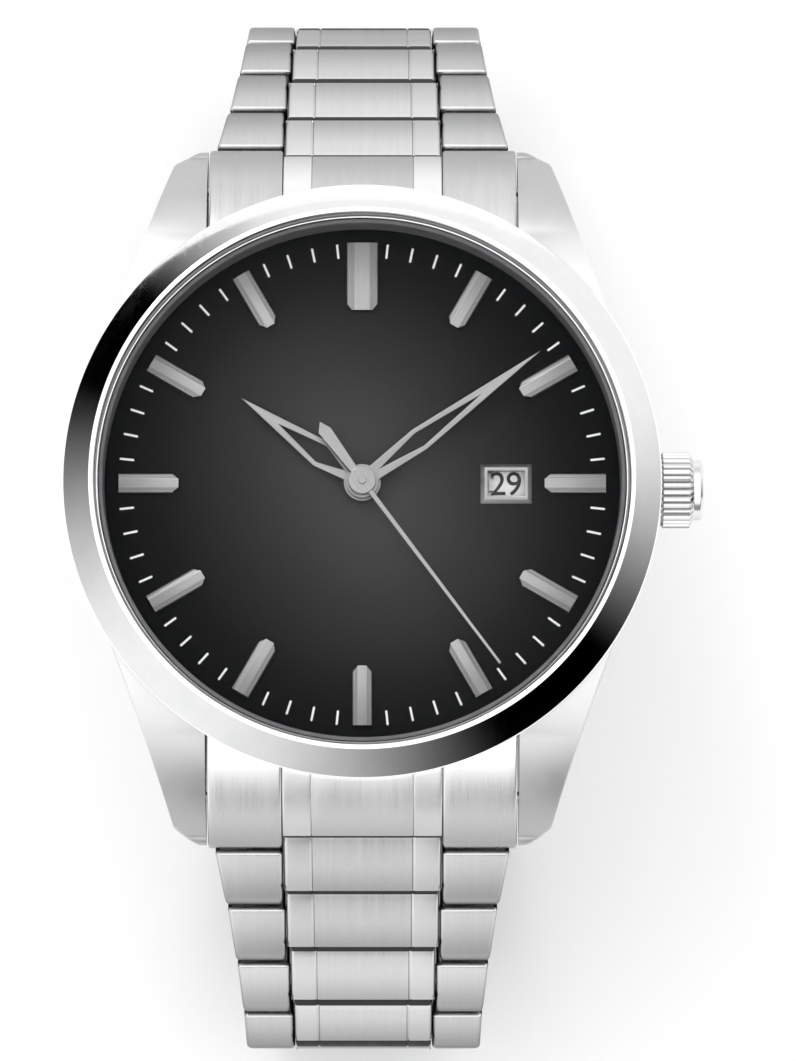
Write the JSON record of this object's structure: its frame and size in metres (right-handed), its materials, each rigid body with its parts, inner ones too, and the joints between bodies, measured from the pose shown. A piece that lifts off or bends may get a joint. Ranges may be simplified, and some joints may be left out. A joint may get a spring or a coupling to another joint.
{
  "type": "wristwatch",
  "caption": "Automatic wristwatch with a round polished case, black sunray dial, date window, and a three-piece-link bracelet closed by a folding clasp.",
  "frame": {"origin": "centre of the case back's flat ring, on the wrist side", "axes": "+Z out of the dial, +Y towards twelve o'clock, +X towards the crown at three o'clock"},
  "size_m": [0.0451, 0.0754, 0.0455],
  "materials": {
    "case_steel": "polished lugs and bezel flank",
    "bezel_steel": "polished",
    "crown_steel": "polished, fluted",
    "end_link_steel": "brushed with polished edges",
    "sapphire": "clear",
    "gasket": "matte",
    "rehaut": "satin black",
    "dial_black": "sunray brushed",
    "applied_markers": "diamond-cut",
    "hand_steel": "polished",
    "date_white": "printed",
    "holder": "plain",
    "rhodium_plate": "perlage",
    "screw_steel": "blued or polished",
    "ruby": "polished ruby",
    "brass_wheel": "gilt",
    "train_steel": "polished",
    "rotor_steel": "striped",
    "clasp_steel": "brushed",
    "bracelet_steel": "brushed with polished strips"
  },
  "bodies": {
    "case": {"case_middle": "case_steel", "bezel": "bezel_steel", "crystal": "sapphire", "gaskets": "gasket", "rehaut_ring": "rehaut", "case_back": "case_steel", "case_back_glass": "sapphire", "movement_ring": "holder", "crown_tube": "case_steel", "spring_bars": "case_steel", "end_link_12": "end_link_steel", "end_link_6": "end_link_steel", "dial": "dial_black", "hour_markers": "applied_markers", "date_frame": "applied_markers", "main_plate": "rhodium_plate", "three_quarter_plate": "rhodium_plate", "balance_cock": "rhodium_plate", "movement_screws": "screw_steel", "jewels": "ruby"},
    "minutes": {"centre_wheel": "brass_wheel", "minute_hand": "hand_steel"},
    "seconds": {"fourth_wheel": "brass_wheel", "seconds_hand": "hand_steel"},
    "hours": {"hour_wheel": "brass_wheel", "hour_hand": "hand_steel"},
    "third": {"third_wheel": "brass_wheel"},
    "great": {"great_wheel": "brass_wheel"},
    "mainspring_barrel": {"barrel": "brass_wheel"},
    "motion_work": {"minute_wheel": "brass_wheel"},
    "escape": {"escape_wheel": "train_steel"},
    "lever": {"pallet_fork": "train_steel"},
    "balance": {"balance_wheel": "brass_wheel"},
    "date": {"date_ring": "date_white"},
    "oscillating_weight": {"rotor": "rotor_steel"},
    "winding_works": {"winding_pinion": "screw_steel"},
    "crown_and_stem": {"crown": "crown_steel", "winding_stem": "screw_steel"},
    "setting": {"setting_lever": "screw_steel"},
    "link_12_1": {"link_12_1": "bracelet_steel"},
    "link_12_2": {"link_12_2": "bracelet_steel"},
    "link_12_3": {"link_12_3": "bracelet_steel"},
    "link_12_4": {"link_12_4": "bracelet_steel"},
    "link_12_5": {"link_12_5": "bracelet_steel"},
    "link_12_6": {"link_12_6": "bracelet_steel"},
    "link_12_7": {"link_12_7": "bracelet_steel"},
    "link_12_8": {"link_12_8": "bracelet_steel"},
    "link_6_1": {"link_6_1": "bracelet_steel"},
    "link_6_2": {"link_6_2": "bracelet_steel"},
    "link_6_3": {"link_6_3": "bracelet_steel"},
    "link_6_4": {"link_6_4": "bracelet_steel"},
    "link_6_5": {"link_6_5": "bracelet_steel"},
    "link_6_6": {"link_6_6": "bracelet_steel"},
    "link_6_7": {"link_6_7": "bracelet_steel"},
    "link_6_8": {"link_6_8": "bracelet_steel"},
    "blade_a": {"clasp_blade_a": "clasp_steel"},
    "blade_b": {"clasp_blade_b": "clasp_steel"},
    "cover": {"clasp_cover": "clasp_steel"},
    "button_l": {"button_left": "clasp_steel"},
    "button_r": {"button_right": "clasp_steel"}
  },
  "joints": [
    {"name": "minute_turn", "type": "hinge", "parent": "case", "child": "minutes", "pos_m": [0, 0, 0.005], "axis": [0, 0, -1], "continuous": true},
    {"name": "second_turn", "type": "hinge", "parent": "case", "child": "seconds", "pos_m": [0, 0, 0.005], "axis": [0, 0, -1], "continuous": true},
    {"name": "hour_turn", "type": "hinge", "parent": "case", "child": "hours", "pos_m": [0, 0, 0.005], "axis": [0, 0, -1], "continuous": true},
    {"name": "third_turn", "type": "hinge", "parent": "case", "child": "third", "pos_m": [-0.00424, 0.00245, 0.005], "axis": [0, 0, -1], "continuous": true},
    {"name": "great_turn", "type": "hinge", "parent": "case", "child": "great", "pos_m": [-0.00032, 0.00539, 0.005], "axis": [0, 0, -1], "continuous": true},
    {"name": "barrel_turn", "type": "hinge", "parent": "case", "child": "mainspring_barrel", "pos_m": [0.00379, 0.00761, 0.005], "axis": [0, 0, -1], "continuous": true},
    {"name": "motion_turn", "type": "hinge", "parent": "case", "child": "motion_work", "pos_m": [0, -0.0024, 0.005], "axis": [0, 0, -1], "continuous": true},
    {"name": "escape_turn", "type": "hinge", "parent": "case", "child": "escape", "pos_m": [0.00233, -0.00404, 0.005], "axis": [0, 0, -1], "continuous": true},
    {"name": "date_turn", "type": "hinge", "parent": "case", "child": "date", "pos_m": [0, 0, 0.005], "axis": [0, 0, -1], "continuous": true},
    {"name": "rotor_turn", "type": "hinge", "parent": "case", "child": "oscillating_weight", "pos_m": [0, 0, 0.0021], "axis": [0, 0, 1], "continuous": true},
    {"name": "balance_swing", "type": "hinge", "parent": "case", "child": "balance", "pos_m": [-0.00073, -0.00837, 0.004], "axis": [0, 0, 1], "range_deg": [-140, 140], "stiffness_Nm_per_rad": 0.00000023},
    {"name": "pallet_rock", "type": "hinge", "parent": "case", "child": "lever", "pos_m": [0.00089, -0.00607, 0.0043], "axis": [0, 0, 1], "range_deg": [-5, 5]},
    {"name": "crown_turn", "type": "hinge", "parent": "case", "child": "winding_works", "pos_m": [0.012, 0, 0.004], "axis": [1, 0, 0], "continuous": true},
    {"name": "crown_pull", "type": "slide", "parent": "winding_works", "child": "crown_and_stem", "axis": [1, 0, 0], "range_m": [0, 0.0015]},
    {"name": "setting_swing", "type": "hinge", "parent": "case", "child": "setting", "pos_m": [0.0111, 0.0036, 0.0045], "axis": [0, 0, 1], "range_deg": [0, 30]},
    {"name": "hinge_12_1", "type": "hinge", "parent": "case", "child": "link_12_1", "pos_m": [0, 0.0235, 0.0003], "axis": [1, 0, 0], "range_deg": [0, 16]},
    {"name": "hinge_12_2", "type": "hinge", "parent": "link_12_1", "child": "link_12_2", "pos_m": [0, 0.02709, -0.00413], "axis": [1, 0, 0], "range_deg": [0, 4]},
    {"name": "hinge_12_3", "type": "hinge", "parent": "link_12_2", "child": "link_12_3", "pos_m": [0, 0.03067, -0.00856], "axis": [1, 0, 0], "range_deg": [0, 8]},
    {"name": "hinge_12_4", "type": "hinge", "parent": "link_12_3", "child": "link_12_4", "pos_m": [0, 0.03394, -0.01323], "axis": [1, 0, 0], "range_deg": [0, 16]},
    {"name": "hinge_12_5", "type": "hinge", "parent": "link_12_4", "child": "link_12_5", "pos_m": [0, 0.03617, -0.01848], "axis": [1, 0, 0], "range_deg": [0, 31]},
    {"name": "hinge_12_6", "type": "hinge", "parent": "link_12_5", "child": "link_12_6", "pos_m": [0, 0.03577, -0.02416], "axis": [1, 0, 0], "range_deg": [0, 35]},
    {"name": "hinge_12_7", "type": "hinge", "parent": "link_12_6", "child": "link_12_7", "pos_m": [0, 0.0325, -0.02883], "axis": [1, 0, 0], "range_deg": [0, 29]},
    {"name": "hinge_12_8", "type": "hinge", "parent": "link_12_7", "child": "link_12_8", "pos_m": [0, 0.02757, -0.03168], "axis": [1, 0, 0], "range_deg": [0, 26]},
    {"name": "hinge_6_1", "type": "hinge", "parent": "case", "child": "link_6_1", "pos_m": [0, -0.0235, 0.0003], "axis": [-1, 0, 0], "range_deg": [0, 16]},
    {"name": "hinge_6_2", "type": "hinge", "parent": "link_6_1", "child": "link_6_2", "pos_m": [0, -0.02709, -0.00413], "axis": [-1, 0, 0], "range_deg": [0, 4]},
    {"name": "hinge_6_3", "type": "hinge", "parent": "link_6_2", "child": "link_6_3", "pos_m": [0, -0.03067, -0.00856], "axis": [-1, 0, 0], "range_deg": [0, 8]},
    {"name": "hinge_6_4", "type": "hinge", "parent": "link_6_3", "child": "link_6_4", "pos_m": [0, -0.03394, -0.01323], "axis": [-1, 0, 0], "range_deg": [0, 16]},
    {"name": "hinge_6_5", "type": "hinge", "parent": "link_6_4", "child": "link_6_5", "pos_m": [0, -0.03617, -0.01848], "axis": [-1, 0, 0], "range_deg": [0, 31]},
    {"name": "hinge_6_6", "type": "hinge", "parent": "link_6_5", "child": "link_6_6", "pos_m": [0, -0.03577, -0.02416], "axis": [-1, 0, 0], "range_deg": [0, 35]},
    {"name": "hinge_6_7", "type": "hinge", "parent": "link_6_6", "child": "link_6_7", "pos_m": [0, -0.0325, -0.02883], "axis": [-1, 0, 0], "range_deg": [0, 29]},
    {"name": "hinge_6_8", "type": "hinge", "parent": "link_6_7", "child": "link_6_8", "pos_m": [0, -0.02757, -0.03168], "axis": [-1, 0, 0], "range_deg": [0, 26]},
    {"name": "clasp_end", "type": "hinge", "parent": "link_6_8", "child": "blade_a", "pos_m": [0, -0.02192, -0.03247], "axis": [-1, 0, 0], "range_deg": [0, 12]},
    {"name": "clasp_fold", "type": "hinge", "parent": "blade_a", "child": "blade_b", "pos_m": [0, 0.01412, -0.03202], "axis": [1, 0, 0], "range_deg": [0, 150]},
    {"name": "clasp_cover_turn", "type": "hinge", "parent": "blade_b", "child": "cover", "pos_m": [0, -0.01612, -0.03282], "axis": [1, 0, 0], "range_deg": [-150, 0]},
    {"name": "button_press_left", "type": "slide", "parent": "cover", "child": "button_l", "axis": [1, 0, 0], "range_m": [0, 0.0006], "stiffness_N_per_m": 400},
    {"name": "button_press_right", "type": "slide", "parent": "cover", "child": "button_r", "axis": [-1, 0, 0], "range_m": [0, 0.0006], "stiffness_N_per_m": 400}
  ],
  "couplings": [
    {"joint": "minute_turn", "follows": "second_turn", "ratio": 0.016667},
    {"joint": "hour_turn", "follows": "second_turn", "ratio": 0.0013889},
    {"joint": "third_turn", "follows": "second_turn", "ratio": -0.13333},
    {"joint": "great_turn", "follows": "second_turn", "ratio": 0.016667},
    {"joint": "barrel_turn", "follows": "second_turn", "ratio": -0.0034314},
    {"joint": "motion_turn", "follows": "second_turn", "ratio": -0.0055556},
    {"joint": "escape_turn", "follows": "second_turn", "ratio": -12},
    {"joint": "setting_swing", "follows": "crown_pull", "rad_per_m": 315},
    {"joint": "clasp_cover_turn", "follows": "clasp_fold", "ratio": -1}
  ]
}
